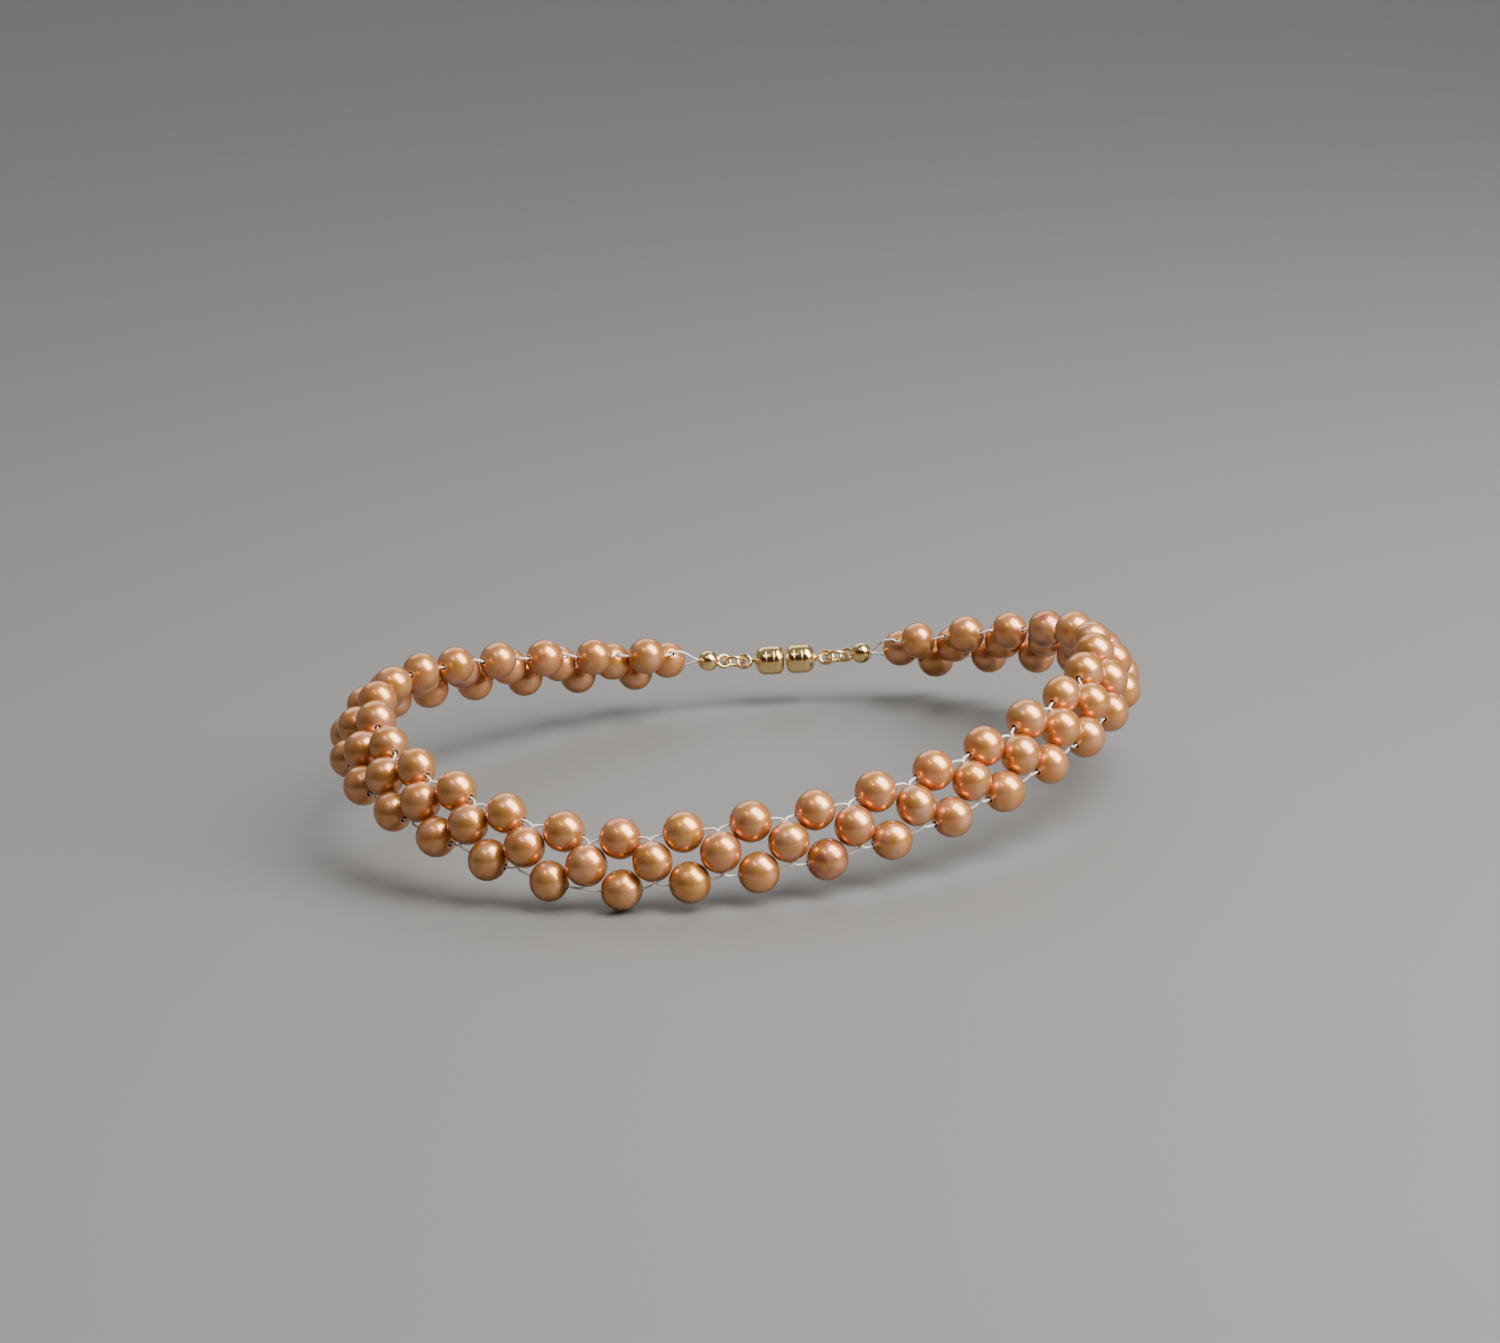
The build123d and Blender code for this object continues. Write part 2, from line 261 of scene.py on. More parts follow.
class Recipe:
    """The nodes of a material or of the room around the stage."""

    def __init__(self, owner):
        owner.use_nodes = True
        self.owner, self.tree = owner, owner.node_tree
        self.tree.nodes.clear()

    def node(self, kind, options=None, inputs=None, output=0):
        """A node of a kind: its options first, then the values or links of its sockets. The option
        stops gives a colour ramp's places and colours."""
        made = self.tree.nodes.new(kind)
        for name, value in (options or {}).items():
            if name == "stops":
                ramp = made.color_ramp
                while len(ramp.elements) < len(value):
                    ramp.elements.new(1.0)
                for element, (place, colour) in zip(ramp.elements, value):
                    element.position, element.color = place, colour
            else:
                setattr(made, name, value)
        for name, value in (inputs or {}).items():
            if isinstance(value, Wire):
                self.tree.links.new(value.socket, made.inputs[name])
            else:
                made.inputs[name].default_value = value
        return Wire(self, made.outputs[output]) if made.outputs else None

    def mixed(self, factor, first, second, blend="MIX"):
        """Two colours mixed by a factor."""
        sockets = {0: factor, 6: first, 7: second}
        return self.node("ShaderNodeMix", {"data_type": "RGBA", "blend_type": blend}, sockets, 2)

    def ramp(self, value, *stops):
        """A number turned into another by a ramp with stops of (place, number)."""
        shades = [(place, (number, number, number, 1)) for place, number in stops]
        return self.node("ShaderNodeValToRGB", {"stops": shades}, {"Fac": value})

    def noise(self, place, scale, detail=3.0, roughness=0.5):
        sockets = {"Vector": place, "Scale": scale, "Detail": detail, "Roughness": roughness}
        return self.node("ShaderNodeTexNoise", {}, sockets)

    def bump(self, height, strength, distance):
        sockets = {"Height": height, "Strength": strength, "Distance": distance}
        return self.node("ShaderNodeBump", {}, sockets)

    def finish(self, **sockets):
        """Ends the material in one Principled shader. A socket's name has _ for each space."""
        named = {name.replace("_", " "): value for name, value in sockets.items()}
        shader = self.node("ShaderNodeBsdfPrincipled", {}, named)
        self.node("ShaderNodeOutputMaterial", {}, {"Surface": shader})
        return self.owner


def opaque(colour):
    return (*colour, 1)


# How often each pattern of the nacre repeats in one radius of a pearl
CLOUD, GLOW, GRAIN, PITS, PIT_PATCHES, WAVES = 1.3, 2.1, 9.0, 4.2, 1.7, 1.9
GROWTH_RINGS = 21.0       # turn of the growth rings' sine over one radius, in radians
RELIEF_DEPTH = 0.1 * MM   # height of a full step of the relief


def nacre(look):
    """Pearl nacre: a tint of its own for each pearl, clouds of rose and gold over it, faint growth
    rings round the bore, small pits, chalky nacre at the drilled mouths, and painted shade, near
    black, inside the bore."""
    r = Recipe(bpy.data.materials.new("nacre"))
    tint = r.node("ShaderNodeAttribute", {"attribute_name": "tint"})
    place = r.node("ShaderNodeAttribute", {"attribute_name": "place"}, output=1)
    mouth = r.node("ShaderNodeAttribute", {"attribute_name": "mouth"}, output=2)
    height = r.node("ShaderNodeAttribute", {"attribute_name": "height"}, output=2)
    cloud = r.ramp(r.noise(place, CLOUD, 2.0), (0.42, 0.0), (0.66, 1.0))
    glow = r.ramp(r.noise(place, GLOW, 1.0, 0.4), (0.45, 0.0), (0.7, 1.0))
    colour = r.mixed(cloud * look.overtone, tint, opaque(look.rose))
    colour = r.mixed(glow * look.overtone, colour, opaque(look.gold))
    ring_noise = r.noise(place, 3.0, 2.0) * 0.35
    phase = (height + ring_noise) * GROWTH_RINGS
    rings = r.node("ShaderNodeMath", {"operation": "SINE"}, {0: phase})
    grain = r.noise(place, GRAIN, 2.0)
    colour = r.mixed(rings * 0.02 + 0.02, colour, opaque(look.deep))
    pits = r.node("ShaderNodeTexVoronoi", {"feature": "F1"}, {"Vector": place, "Scale": PITS})
    patches = r.ramp(r.noise(place, PIT_PATCHES), (0.52, 0.0), (0.6, 1.0))
    pit = r.ramp(pits, (0.03, 1.0), (0.10, 0.0)) * patches
    colour = r.mixed(pit * 0.35, colour, opaque(look.deep))
    edge = r.ramp(mouth, (0.0, 0.0), (0.5, 0.55), (0.75, 0.55), (1.0, 0.0))
    colour = r.mixed(edge, colour, opaque(look.chalk))
    # Painted shade: inside the bore and on the inner lip the colour turns near black, standing in for
    # the shade in the narrow hole
    colour = r.mixed(r.ramp(mouth, (0.8, 0.0), (1.0, 0.85)), colour, opaque(look.bore))
    roughness = look.roughness + (grain - 0.5) * 0.04 + r.ramp(mouth, (0.2, 0.0), (0.8, 0.35))
    relief = grain * 0.015 + rings * 0.006 - pit * 0.2 + r.noise(place, WAVES, 0.0) * 0.6
    return r.finish(Base_Color=colour, Metallic=look.lustre, Roughness=roughness,
                    Normal=r.bump(relief, look.relief, RELIEF_DEPTH), Coat_Weight=look.gloss,
                    Coat_Roughness=0.09, Coat_IOR=1.65, Coat_Tint=opaque(look.coat_tint), IOR=1.5,
                    Specular_Tint=opaque(look.rim))


def clear_thread(look):
    """Clear nylon thread: glossy, slightly milky, with faint draw marks along it."""
    r = Recipe(bpy.data.materials.new("clear_thread"))
    place = r.node("ShaderNodeTexCoord", {}, output=3)
    marks = r.noise(place, 900.0, 2.0)
    return r.finish(Base_Color=opaque(look.colour), Roughness=0.2 + marks * 0.12, IOR=1.53,
                    Transmission_Weight=look.clearness, Coat_Weight=0.6, Coat_Roughness=0.05,
                    Normal=r.bump(marks, 0.15, 0.02 * MM))


def polished_metal(name, colour, roughness):
    """Plated metal: polished, with fine scratches in two directions and a slightly uneven polish."""
    r = Recipe(bpy.data.materials.new(name))
    place = r.node("ShaderNodeTexCoord", {}, output=3)
    lines = []
    for turn, stretch in (((0, 0, 0.6), (300, 4200, 300)), ((0.5, 0, -0.7), (4200, 300, 300))):
        across = r.node("ShaderNodeMapping", {}, {"Vector": place, "Rotation": turn, "Scale": stretch})
        lines.append(r.ramp(r.noise(across, 1.0, 2.0), (0.56, 0.0), (0.62, 1.0)))
    scratches = (lines[0] + lines[1]) * 0.5
    smear = r.noise(place, 700.0, 3.0)
    tone = r.mixed(smear, opaque([c * 0.92 for c in colour]), opaque(colour))
    worn = roughness + smear * 0.12 + scratches * 0.08
    return r.finish(Base_Color=tone, Metallic=1.0, Roughness=worn,
                    Normal=r.bump(scratches * -1.0, 0.12, 0.01 * MM))


def painted_board(colour):
    """The stage's plain pale floor, faintly mottled."""
    r = Recipe(bpy.data.materials.new("pale_floor"))
    place = r.node("ShaderNodeTexCoord", {}, output=3)
    mottle = r.noise(place, 14.0, 3.0)
    tone = r.mixed(mottle, opaque([c * 0.95 for c in colour]), opaque(colour))
    return r.finish(Base_Color=tone, Roughness=0.55 + mottle * 0.1)


def soft_room(look):
    """The room's soft light: pale towards the wall behind the stage, darker on the near side."""
    r = Recipe(bpy.data.worlds.new("room"))
    way = r.node("ShaderNodeTexCoord", {}, output=0)
    toward = r.node("ShaderNodeVectorMath", {"operation": "DOT_PRODUCT"}, {0: way, 1: look.wall}, 1)
    tone = r.ramp(toward * 0.5 + 0.5, (0.30, look.near_side), (0.62, 1.0))
    light = r.node("ShaderNodeBackground", {}, {"Color": tone, "Strength": look.room})
    r.node("ShaderNodeOutputWorld", {}, {"Surface": light})
    return r.owner


# Settings


class PearlLook(bpy.types.PropertyGroup):
    out_of_round: bpy.props.FloatProperty(
        name="Out of round", description="Most that a pearl is flattened along one line, as a share",
        default=0.07, min=0.0, max=0.2, subtype="FACTOR")
    lumps: bpy.props.FloatProperty(
        name="Lumps", description="Height of the soft lumps on a pearl, as a share of its radius",
        default=0.003, min=0.0, max=0.05, subtype="FACTOR")
    fullness: bpy.props.FloatProperty(
        name="Fullness", description="Growth of a pearl before it is flattened, as a share",
        default=0.004, min=0.0, max=0.05, subtype="FACTOR")
    lip: bpy.props.FloatProperty(
        name="Mouth lip", description="Radius of the rounded lip at a drilled mouth",
        default=0.06 * MM, subtype="DISTANCE", unit="LENGTH")
    peach: bpy.props.FloatVectorProperty(
        name="Peach", description="The commonest body colour", default=(0.71, 0.36, 0.16),
        subtype="COLOR", min=0, max=1)
    amber: bpy.props.FloatVectorProperty(
        name="Amber", description="The golden body colour", default=(0.67, 0.36, 0.11),
        subtype="COLOR", min=0, max=1)
    salmon: bpy.props.FloatVectorProperty(
        name="Salmon", description="The pink body colour", default=(0.71, 0.33, 0.19),
        subtype="COLOR", min=0, max=1)
    mauve: bpy.props.FloatVectorProperty(
        name="Mauve", description="The body colour of the few dark rose pearls",
        default=(0.49, 0.18, 0.16), subtype="COLOR", min=0, max=1)
    rose: bpy.props.FloatVectorProperty(
        name="Rose overtone", description="Pink clouds over the body colour",
        default=(0.76, 0.47, 0.44), subtype="COLOR", min=0, max=1)
    gold: bpy.props.FloatVectorProperty(
        name="Gold overtone", description="Golden clouds over the body colour",
        default=(0.62, 0.40, 0.12), subtype="COLOR", min=0, max=1)
    deep: bpy.props.FloatVectorProperty(
        name="Deep tone", description="Growth rings and pits", default=(0.42, 0.15, 0.04),
        subtype="COLOR", min=0, max=1)
    chalk: bpy.props.FloatVectorProperty(
        name="Drilled edge", description="Bare nacre round a drilled mouth",
        default=(0.86, 0.62, 0.44), subtype="COLOR", min=0, max=1)
    # Painted shade: this near-black colour fills the inside of the bore in place of the shade that
    # falls in the hole
    bore: bpy.props.FloatVectorProperty(
        name="Bore", description="Inside the drilled bore", default=(0.16, 0.07, 0.03),
        subtype="COLOR", min=0, max=1)
    rim: bpy.props.FloatVectorProperty(
        name="Rim", description="Colour that the lustre turns to at a pearl's edge",
        default=(0.45, 0.22, 0.08), subtype="COLOR", min=0, max=1)
    coat_tint: bpy.props.FloatVectorProperty(
        name="Depth tint", description="Tint that grows towards a pearl's rim",
        default=(0.97, 0.73, 0.42), subtype="COLOR", min=0, max=1)
    overtone: bpy.props.FloatProperty(
        name="Overtone", description="Strength of the rose and gold clouds", default=0.9,
        min=0, max=1, subtype="FACTOR")
    lustre: bpy.props.FloatProperty(
        name="Lustre", description="Share of the light that the nacre mirrors in its own colour",
        default=0.7, min=0, max=1, subtype="FACTOR")
    roughness: bpy.props.FloatProperty(
        name="Softness", description="Blur of the lustre", default=0.33, min=0, max=1,
        subtype="FACTOR")
    gloss: bpy.props.FloatProperty(
        name="Gloss", description="Clear mirror layer on top", default=0.9, min=0, max=1,
        subtype="FACTOR")
    relief: bpy.props.FloatProperty(
        name="Relief", description="Strength of the surface grain", default=0.6, min=0, max=1,
        subtype="FACTOR")
    seed: bpy.props.IntProperty(
        name="Seed", description="Chooses every pearl's own differences", default=7)


class ThreadLook(bpy.types.PropertyGroup):
    diameter: bpy.props.FloatProperty(
        name="Diameter", description="Diameter of one strand", default=0.42 * MM,
        subtype="DISTANCE", unit="LENGTH")
    strand_gap: bpy.props.FloatProperty(
        name="Strand gap", description="Free space between the two strands in a middle pearl",
        default=0.06 * MM, subtype="DISTANCE", unit="LENGTH")
    mouth_lead: bpy.props.FloatProperty(
        name="Lead", description="Straight thread outside an outer pearl", default=0.15 * MM,
        subtype="DISTANCE", unit="LENGTH")
    mouth_rise: bpy.props.FloatProperty(
        name="Rise", description="Height of the turn above a middle pearl's mouth", default=0.4 * MM,
        subtype="DISTANCE", unit="LENGTH")
    bend: bpy.props.FloatProperty(
        name="Bend", description="How far from a corner the thread starts to turn",
        default=0.9 * MM, subtype="DISTANCE", unit="LENGTH")
    tail_bend: bpy.props.FloatProperty(
        name="Tail bend", description="The same for the free ends that run to the bead tips",
        default=2.4 * MM, subtype="DISTANCE", unit="LENGTH")
    colour: bpy.props.FloatVectorProperty(
        name="Colour", description="Colour of the thread", default=(0.95, 0.93, 0.90),
        subtype="COLOR", min=0, max=1)
    clearness: bpy.props.FloatProperty(
        name="Clearness", description="Share of light that passes", default=0.15, min=0, max=1,
        subtype="FACTOR")


def length_setting(name, description, size):
    """A setting for a length, with its default in millimetres."""
    return bpy.props.FloatProperty(name=name, description=description, default=size * MM,
                                   subtype="DISTANCE", unit="LENGTH")


class MetalLook(bpy.types.PropertyGroup):
    barrel: length_setting("Barrel", "Diameter of a clasp half", 5.6)
    barrel_start: length_setting("Barrel start", "From the eye's middle to the barrel's end", 2.25)
    barrel_length: length_setting("Barrel length", "From the end to the face", 5.5)
    end_radius: length_setting("End radius", "Rounding of the end by the eye", 1.9)
    rim_radius: length_setting("Rim radius", "Rounding of the rim round the face", 1.4)
    magnet_lip: length_setting("Lip", "Flat ring of the face left round the magnet", 0.1)
    pocket: length_setting("Pocket", "Depth of the magnet's pocket", 2.65)
    stem: length_setting("Stem", "Diameter of the eye's stem", 0.8)
    stem_seat: length_setting("Stem seat", "Depth of the stem's hole", 0.7)
    collar: length_setting("Collar", "Diameter of the solder collar round the stem", 1.5)
    collar_height: length_setting("Collar height", "Height of the collar", 0.28)
    line: length_setting("Turned line", "Depth and half width of each turned line", 0.09)
    edge: length_setting("Edge", "Softening of every edge", 0.05)
    gold: bpy.props.FloatVectorProperty(
        name="Gold plating", description="Clasp, rings and bead tips",
        default=(0.90, 0.63, 0.29), subtype="COLOR", min=0, max=1)
    crimp: bpy.props.FloatVectorProperty(
        name="Crimp", description="Crimp beads", default=(0.78, 0.58, 0.30),
        subtype="COLOR", min=0, max=1)
    nickel: bpy.props.FloatVectorProperty(
        name="Nickel", description="Magnets", default=(0.70, 0.69, 0.66),
        subtype="COLOR", min=0, max=1)
    polish: bpy.props.FloatProperty(
        name="Roughness", description="Roughness of the gold plating", default=0.10, min=0, max=1,
        subtype="FACTOR")


class StageLook(bpy.types.PropertyGroup):
    floor: bpy.props.FloatVectorProperty(
        name="Floor", description="Colour of the floor", default=(0.155, 0.155, 0.152),
        subtype="COLOR", min=0, max=1)
    clearance: bpy.props.FloatProperty(
        name="Floor gap", description="The floor lies this far under the lowest pearl",
        default=0.05 * MM, subtype="DISTANCE", unit="LENGTH")
    distance: bpy.props.FloatProperty(
        name="Camera distance", description="From the middle of the neck", default=0.65,
        subtype="DISTANCE", unit="LENGTH")
    azimuth: bpy.props.FloatProperty(
        name="Camera azimuth", description="Round from the front towards the wearer's left",
        default=math.radians(9.94), subtype="ANGLE", unit="ROTATION")
    elevation: bpy.props.FloatProperty(
        name="Camera elevation", description="Above the horizon", default=math.radians(16.5),
        subtype="ANGLE", unit="ROTATION")
    roll: bpy.props.FloatProperty(
        name="Camera roll", description="Turn of the camera about its line of sight",
        default=math.radians(-3.84), subtype="ANGLE", unit="ROTATION")
    aim: bpy.props.FloatVectorProperty(
        name="Camera aim", description="The point at the middle of the view",
        default=(2.1 * MM, 2.8 * MM, 8.0 * MM), subtype="XYZ_LENGTH", unit="LENGTH")
    lens: bpy.props.FloatProperty(
        name="Lens", description="Focal length in millimetres, on a sensor 36 mm wide",
        default=87.65)
    window: bpy.props.FloatProperty(
        name="Window light", description="Power of the large soft light", default=20.0,
        subtype="POWER", unit="POWER")
    lamp: bpy.props.FloatProperty(
        name="Lamps", description="Power of each small lamp", default=0.35,
        subtype="POWER", unit="POWER")
    wash: bpy.props.FloatProperty(
        name="Wall wash", description="Power of the light on the far end of the floor", default=31.0,
        subtype="POWER", unit="POWER")
    room: bpy.props.FloatProperty(
        name="Room light", description="Brightness of the wall behind the stage", default=0.25)
    near_side: bpy.props.FloatProperty(
        name="Near side", description="The room's near side, as a share of the wall's brightness",
        default=0.12, min=0, max=1, subtype="FACTOR")
    wall: bpy.props.FloatVectorProperty(
        name="Wall", description="The way towards the wall", default=(-0.2, 0.93, 0.3),
        subtype="DIRECTION")


def settings(name):
    """The property group of the pearls, the thread, the metal or the stage."""
    return getattr(bpy.context.scene, "pearl_choker_" + name)


# Pearls

# Points along a pearl's arc, round its bore, over the lip of a mouth and along the bore
MERIDIAN, AROUND, LIP, BORE = 40, 56, 4, 5
MOUTH_REACH = 0.45 * MM   # chalky nacre round a mouth


def pearl_profile(radius, bore, lip):
    """Distance from the bore's axis and height along it, once round a drilled pearl's section: the
    ball's arc, the rounded lip of one mouth, the bore's wall and the other lip. Third, how far each
    point is into the mouth, from 0 on the ball to 1 in the bore."""
    edge = bore + lip
    start = math.asin(edge / radius)
    shoulder = radius * math.cos(start) - lip
    arc = np.linspace(start, math.pi - start, MERIDIAN)
    curl = np.linspace(0, math.pi / 2, LIP + 1)[1:]
    wall = np.linspace(-shoulder, shoulder, BORE + 2)[1:-1]
    across = [radius * np.sin(arc), edge - lip * np.sin(curl), np.full(BORE, bore),
              edge - lip * np.cos(curl)]
    height = [radius * np.cos(arc), -shoulder - lip * np.cos(curl), wall,
              shoulder + lip * np.sin(curl)]
    across[3], height[3] = across[3][:-1], height[3][:-1]
    depth = np.clip(1 - (radius * np.sin(arc) - edge) / MOUTH_REACH, 0, 1) * 0.6
    mouth = [depth, np.linspace(0.7, 1, LIP), np.ones(BORE), np.linspace(1, 0.7, LIP)[:-1]]
    return np.concatenate(across), np.concatenate(height), np.concatenate(mouth)


def pearl_surface(pearl, look, chance):
    """A drilled pearl: its profile turned about its bore, then each point of the ball moved in as
    the square of its cosine with one random line, and in or out by a sum of five soft waves. Both
    fade at the mouths."""
    across, height, mouth = pearl_profile(pearl.radius, pearl.bore, look.lip)
    side = square_to(np.array((0.3, 0.5, 0.8)), pearl.axis)
    other = np.cross(side, pearl.axis)
    angle = np.linspace(0, 2 * math.pi, AROUND, endpoint=False)[None, :, None]
    ring = side * np.cos(angle) + other * np.sin(angle)
    offset = ring * across[:, None, None] + pearl.axis * height[:, None, None]
    way = unit(offset)
    flatness = look.out_of_round * chance.uniform(0, 1) ** 1.5
    line = unit(chance.normal(size=3))
    change = look.fullness - flatness * (way @ line) ** 2
    for _ in range(5):
        wave = unit(chance.normal(size=3)) * chance.uniform(2.0, 5.0)
        change = change + look.lumps * np.cos(way @ wave + chance.uniform(0, 2 * math.pi))
    fade = np.clip(1 - mouth / 0.6, 0, 1)
    fade = (fade * fade * (3 - 2 * fade))[:, None]
    points = pearl.centre + offset * (1 + change * fade)[..., None]
    return points, way + chance.uniform(-50, 50, 3), mouth, height / pearl.radius


# Pearls of a colour of their own, by row and number round the band
OWN_COLOURS = {("bottom", 17): "mauve", ("middle", 4): "mauve", ("top", 27): "mauve",
               ("bottom", 18): "amber", ("top", 15): "amber", ("bottom", 12): "amber",
               ("bottom", 15): "amber", ("top", 14): "salmon", ("middle", 16): "salmon",
               ("middle", 18): "salmon", ("top", 18): "salmon"}


def pearl_tint(look, chance, number, row):
    """One pearl's own body colour: peach, amber and salmon in random shares, or a colour set for it."""
    shares = chance.dirichlet((1.3, 0.8, 0.8))
    own = OWN_COLOURS.get((row, number))
    colour = getattr(look, own) if own else shares @ np.array((look.peach, look.amber, look.salmon))
    return np.array(colour) * chance.uniform(0.86, 1.06)


class CHOKER_OT_pearls(bpy.types.Operator):
    """String the pearls: one piece for each row of each segment, in place of its plain CAD balls"""
    bl_idname = "choker.pearls"
    bl_label = "Pearls"

    def execute(self, context):
        look = settings("pearls")
        material = nacre(look)
        chance = np.random.default_rng(look.seed)
        made = {}
        for row in ROWS:
            for number, pearl in enumerate(band[row]):
                points, place, mouth, height = pearl_surface(pearl, look, chance)
                tint = np.append(pearl_tint(look, chance, number, row), 1.0)
                size = points.shape[:2]
                values = (np.broadcast_to(tint, (*size, 4)), place,
                          np.broadcast_to(mouth[:, None], size),
                          np.broadcast_to(height[:, None], size))
                made.setdefault(pearl.node, []).append((points, values))
        kinds = (("tint", "FLOAT_COLOR", 4), ("place", "FLOAT_VECTOR", 3),
                 ("mouth", "FLOAT", 1), ("height", "FLOAT", 1))
        for node, pearls in made.items():
            attributes = {}
            for index, (label, kind, width) in enumerate(kinds):
                parts = [values[index].reshape(-1, width) for _, values in pearls]
                attributes[label] = kind, np.concatenate(parts)
            grids = [(points, True, True) for points, _ in pearls]
            piece = new_piece(node + "_nacre", grids, material, attributes)
            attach(piece, frame["nodes"][node]["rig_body"])
            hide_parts(node)
        return {"FINISHED"}


# Thread


def middle_turn(number, row, strand, look):
    """Where a strand turns into a middle pearl's bore, above (row 1) or below (row -1) it."""
    pearl = band["middle"][number]
    aside = middle_outward(number) * strand * (look.diameter + look.strand_gap) / 2
    return pearl.centre + pearl.axis * row * (pearl.radius + look.mouth_rise) + aside


def outer_turn(number, row, end, look):
    """Where a strand leaves (end 1) or enters (end -1) the bore of a top or bottom pearl."""
    pearl = band["top" if row > 0 else "bottom"][number]
    return pearl.centre + pearl.axis * end * (pearl.radius + look.mouth_lead)


def joint_place(name):
    """Where a joint of the frame turns."""
    return np.array(next(j for j in frame["joints"] if j["name"] == name)["pos_m"])


def bead_tip_line(side):
    """The link of a bead tip, the way from the last pearl to it, across the band, and the distance
    from the link back to the cup's far end."""
    link = joint_place(side + "_ring_swing")
    last = band["middle"][0 if side == "right" else -1]
    way = unit(link - last.centre)
    reach = -((vertex_places(frame["nodes"][side + "_bead_tip"].data) - link) @ way).min()
    return link, way, square_to(last.axis, way), reach


SIDE_SEGMENTS = 5         # jointed segments on each side; the last holds the free ends
TAIL_REACH = 2.2 * MM     # a free end leaves its pearl this far before it turns to the bead tip
TIP_LEAD = 0.3 * MM       # it is straight from this far outside the bead tip
TIP_HOLD = 2.9 * MM       # and ends this far inside it


def tail(side, strand, look):
    """Corners of a free thread end: from the last middle pearl's far mouth into the bead tip."""
    number = 0 if side == "right" else len(band["middle"]) - 1
    unit_number = min(number, len(band["top"]) - 1)
    row = -strand_row(unit_number, strand)
    link, way, across, reach = bead_tip_line(side)
    beside = across * row * (look.diameter + look.strand_gap) / 2
    far = middle_turn(number, row, strand, look)
    return [far, far + way * TAIL_REACH, link - way * (reach + TIP_LEAD) + beside,
            link - way * (reach - TIP_HOLD) + beside]


def strand_row(number, strand):
    """The row of the outer pearl that a strand passes in a unit. It changes sides at every unit."""
    return strand if number % 2 else -strand


def strand_corners(first, last, strand, look):
    """Corners of one strand through the units of a segment, from hinge pearl to hinge pearl."""
    corners = []
    for number in range(first, last + 1):
        row = strand_row(number, strand)
        corners += [middle_turn(number, row, strand, look), outer_turn(number, row, -1, look),
                    outer_turn(number, row, 1, look), middle_turn(number + 1, row, strand, look)]
    stops = ((0, first, strand_row(first, strand)), (-1, last + 1, strand_row(last, strand)))
    for end, number, row in stops:
        pearl = band["middle"][number]
        if number == 0:
            corners = tail("right", strand, look)[::-1] + corners
        elif number == len(band["middle"]) - 1:
            corners += tail("left", strand, look)
        else:
            turn = corners[end]
            stop = turn - pearl.axis * row * (pearl.radius + look.mouth_rise)
            corners = [stop] + corners if end == 0 else corners + [stop]
    return np.array(corners)


class CHOKER_OT_thread(bpy.types.Operator):
    """Run the two clear strands through every segment's pearls"""
    bl_idname = "choker.thread"
    bl_label = "Thread"

    def execute(self, context):
        look = settings("thread")
        material = clear_thread(look)
        centres = np.array([pearl.centre for pearl in band["middle"]])
        outwards = np.array([middle_outward(number) for number in range(len(centres))])
        for node in sorted(n for n in frame["nodes"] if n.endswith("_thread")):
            body = frame["nodes"][node]["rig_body"]
            numbers = [i for i, p in enumerate(band["top"]) if p.body == body]
            grids = []
            for strand in (-1, 1):
                corners = strand_corners(numbers[0], numbers[-1], strand, look)
                reach = np.full(len(corners) - 2, look.bend)
                if body.endswith("_%d" % SIDE_SEGMENTS):
                    free = slice(0, 3) if body.startswith("right") else slice(-3, None)
                    reach[free] = look.bend, look.tail_bend, look.tail_bend
                    if body.startswith("right"):
                        reach[free] = reach[free][::-1]
                line = rounded_route(corners, reach)
                nearest = np.argmin(np.linalg.norm(line[:, None] - centres, axis=2), axis=1)
                outward = outwards[nearest]
                grids.append((tube(line, outward, look.diameter / 2), False, True))
            piece = new_piece(node + "_strands", grids, material)
            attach(piece, body)
            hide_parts(node)
        return {"FINISHED"}


# Clasp


def turned(origin, axis, profile, around=56):
    """A profile of (radius, distance along the axis) carried round the axis from its origin."""
    side = square_to(np.array((0.3, 0.5, 0.8)), axis)
    angle = np.linspace(0, 2 * math.pi, around, endpoint=False)[None, :, None]
    ring = side * np.cos(angle) + np.cross(axis, side) * np.sin(angle)
    return origin + ring * profile[:, 0, None, None] + axis * profile[:, 1, None, None]


def quarter_round(across, along, radius, start, steps=12):
    """A quarter circle of a profile, from the start angle on. Angle 0 points away from the axis."""
    angle = start + np.linspace(0, math.pi / 2, steps)
    return np.stack([across + radius * np.cos(angle), along + radius * np.sin(angle)], 1)


AXIS_GAP = 0.02 * MM      # the profile's ends stop this far short of the axis, and are capped
LINE_INSET = 0.35 * MM    # from each rounding to the turned line next to it


def shell_profile(look):
    """Half the section of a clasp barrel, from the bottom of the stem's hole to the bottom of the
    magnet's pocket: the collar round the stem, the rounded end, the barrel with its two turned
    lines, the rounded rim, the face and the pocket. Each corner is softened by a short parabola."""
    radius, stem, collar = look.barrel / 2, look.stem / 2, look.collar / 2
    start, face = look.barrel_start, look.barrel_start + look.barrel_length
    magnet = radius - look.rim_radius - look.magnet_lip
    lines = []
    for place in (start + look.end_radius + LINE_INSET, face - look.rim_radius - LINE_INSET):
        lines += [(radius, place - look.line), (radius - look.line, place),
                  (radius, place + look.line)]
    end = quarter_round(radius - look.end_radius, start + look.end_radius, look.end_radius,
                        -math.pi / 2)
    rim = quarter_round(radius - look.rim_radius, face - look.rim_radius, look.rim_radius, 0)
    corners = [(AXIS_GAP, start + look.stem_seat), (stem, start + look.stem_seat),
               (stem, start - look.collar_height), (collar, start - look.collar_height),
               (collar, start), *end, *lines, *rim, (magnet, face),
               (magnet, face - look.pocket), (AXIS_GAP, face - look.pocket)]
    return rounded_route(np.array(corners), look.edge, 4)


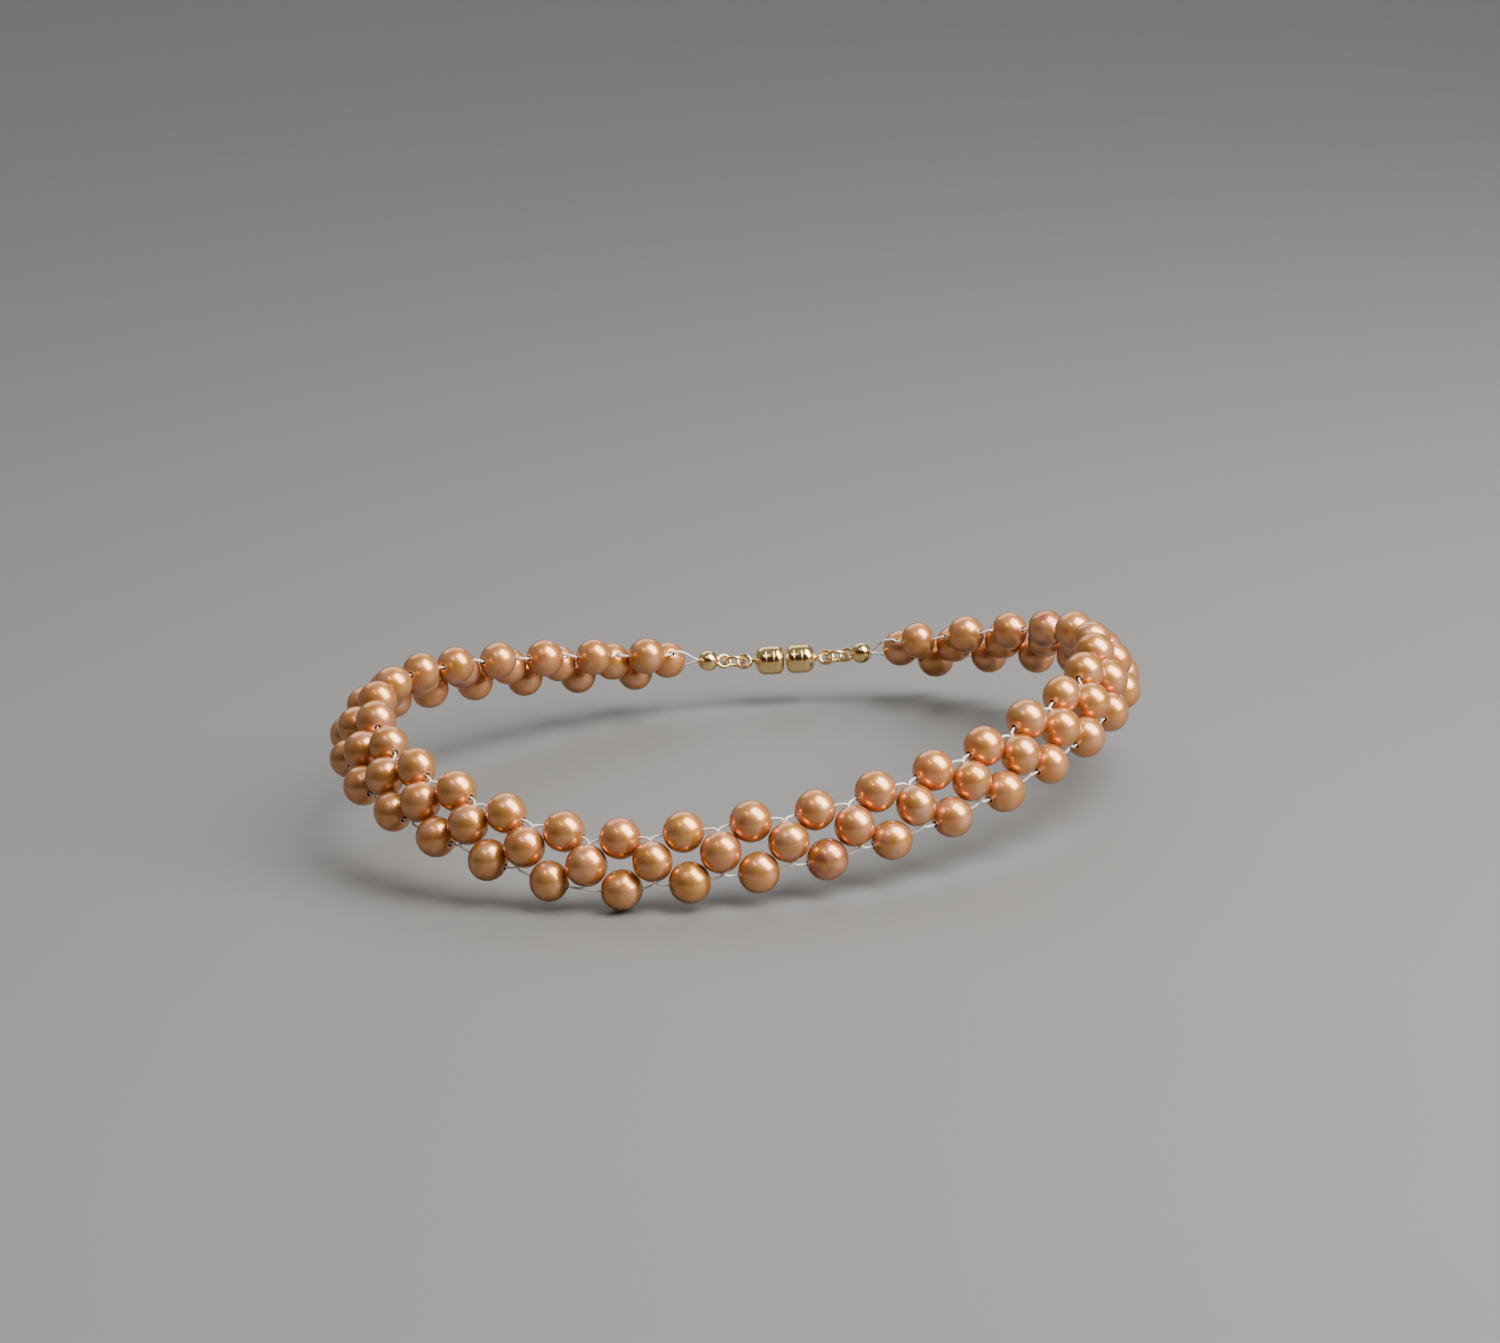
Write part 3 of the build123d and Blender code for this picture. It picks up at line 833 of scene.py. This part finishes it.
class CHOKER_OT_clasp(bpy.types.Operator):
    """Finish the clasp, the rings, the bead tips and the crimp beads"""
    bl_idname = "choker.clasp"
    bl_label = "Clasp and rings"

    def execute(self, context):
        look = settings("metal")
        gold = polished_metal("gold_plating", look.gold, look.polish)
        crimp = polished_metal("crimp_metal", look.crimp, 0.25)
        nickel = polished_metal("nickel_plating", look.nickel, 0.16)
        finishes = {"clasp_eye": gold, "jump_ring": gold, "bead_tip": gold, "crimp_bead": crimp,
                    "clasp_magnet": nickel}
        profile = shell_profile(look)
        for side in SIDES:
            eye = joint_place(side + "_clasp_swing")
            low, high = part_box(side + "_clasp_magnet")
            axis = unit((np.array(low) + np.array(high)) / 2 - eye)
            shell = new_piece(side + "_barrel", [(turned(eye, axis, profile), False, True)], gold)
            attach(shell, side + "_clasp")
            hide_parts(side + "_clasp_shell")
            for name, finish in finishes.items():
                piece = frame["nodes"][side + "_" + name]
                piece.data.materials.clear()
                piece.data.materials.append(finish)
        return {"FINISHED"}


# Stage


FLOOR_HALF = 2.5          # half the width of the floor, in metres
WARM = (1.0, 0.86, 0.68)  # colour of the small lamps


def add_light(name, size, power, place, colour, aim=(0, -0.03, 0)):
    """A rectangular light of a width and height, at a place, facing a point."""
    light = bpy.data.lights.new(name, "AREA")
    light.shape, (light.size, light.size_y) = "RECTANGLE", size
    light.energy, light.color = power, colour
    lamp = bpy.data.objects.new(name, light)
    bpy.context.scene.collection.objects.link(lamp)
    lamp.location = place
    lamp.rotation_euler = (Vector(place) - Vector(aim)).to_track_quat("Z", "Y").to_euler()


class CHOKER_OT_stage(bpy.types.Operator):
    """Lay the floor and set the lights and the camera"""
    bl_idname = "choker.stage"
    bl_label = "Stage"

    def execute(self, context):
        look = settings("stage")
        lowest = cad_box[0].z - look.clearance
        half = FLOOR_HALF
        corners = [(-half, -half, lowest), (half, -half, lowest),
                   (half, half, lowest), (-half, half, lowest)]
        mesh = bpy.data.meshes.new("floor")
        mesh.from_pydata(corners, [], [(0, 1, 2, 3)])
        mesh.materials.append(painted_board(look.floor))
        floor = bpy.data.objects.new("floor", mesh)
        context.scene.collection.objects.link(floor)

        flat = math.cos(look.elevation)
        place = look.distance * Vector((math.sin(look.azimuth) * flat,
                                        -math.cos(look.azimuth) * flat,
                                        math.sin(look.elevation)))
        back = (place - Vector(look.aim)).normalized()
        level = (-back).cross(Vector((0, 0, 1))).normalized()
        upright = level.cross(-back)
        right = math.cos(look.roll) * level + math.sin(look.roll) * upright
        up = math.cos(look.roll) * upright - math.sin(look.roll) * level
        camera = bpy.data.objects.new("camera", bpy.data.cameras.new("camera"))
        context.scene.collection.objects.link(camera)
        camera.data.sensor_width, camera.data.lens = 36.0, look.lens
        turned = Matrix((right, up, back)).transposed().to_4x4()
        camera.matrix_world = Matrix.Translation(place) @ turned
        context.scene.camera = camera

        def toward(x, y, z, away):
            """A place at a distance, in the camera's own ways: right, up and back."""
            return tuple((right * x + up * y + back * z).normalized() * away)

        add_light("window", (0.5, 0.85), look.window, toward(0.58, 0.67, 0.465, 0.75),
                  (1.0, 0.98, 0.96))
        add_light("wall_wash", (3.0, 2.0), look.wash, (-0.6, 2.2, 1.7), (1.0, 0.99, 0.97),
                  aim=(-0.2, 1.3, 0))
        add_light("lamp_1", (0.03, 0.03), look.lamp, toward(-0.36, 0.74, 0.57, 0.8), WARM)
        add_light("lamp_2", (0.03, 0.03), look.lamp, toward(-0.22, 0.62, 0.75, 0.8), WARM)
        context.scene.world = soft_room(look)
        return {"FINISHED"}


class CHOKER_PT_sidebar(bpy.types.Panel):
    """The sidebar panel that lists the pieces"""
    bl_idname = "CHOKER_PT_sidebar"
    bl_label = "Woven pearl choker"
    bl_space_type = "VIEW_3D"
    bl_region_type = "UI"
    bl_category = "Pearls"

    def draw(self, context):
        for operator, group in BUILD_ORDER:
            self.layout.operator(operator.bl_idname)
            column = self.layout.column(align=True)
            for name in group.__annotations__:
                column.prop(settings(SETTING_NAMES[group]), name)


SETTING_NAMES = {PearlLook: "pearls", ThreadLook: "thread", MetalLook: "metal", StageLook: "stage"}
BUILD_ORDER = ((CHOKER_OT_pearls, PearlLook), (CHOKER_OT_thread, ThreadLook),
               (CHOKER_OT_clasp, MetalLook), (CHOKER_OT_stage, StageLook))


def register():
    for operator, group in BUILD_ORDER:
        bpy.utils.register_class(group)
        bpy.utils.register_class(operator)
        pointer = bpy.props.PointerProperty(type=group)
        setattr(bpy.types.Scene, "pearl_choker_" + SETTING_NAMES[group], pointer)
    bpy.utils.register_class(CHOKER_PT_sidebar)


def unregister():
    bpy.utils.unregister_class(CHOKER_PT_sidebar)
    for operator, group in reversed(BUILD_ORDER):
        delattr(bpy.types.Scene, "pearl_choker_" + SETTING_NAMES[group])
        bpy.utils.unregister_class(operator)
        bpy.utils.unregister_class(group)


def main():
    register()
    bpy.ops.choker.pearls()
    bpy.ops.choker.thread()
    bpy.ops.choker.clasp()
    bpy.ops.choker.stage()


if __name__ == "__main__":
    main()
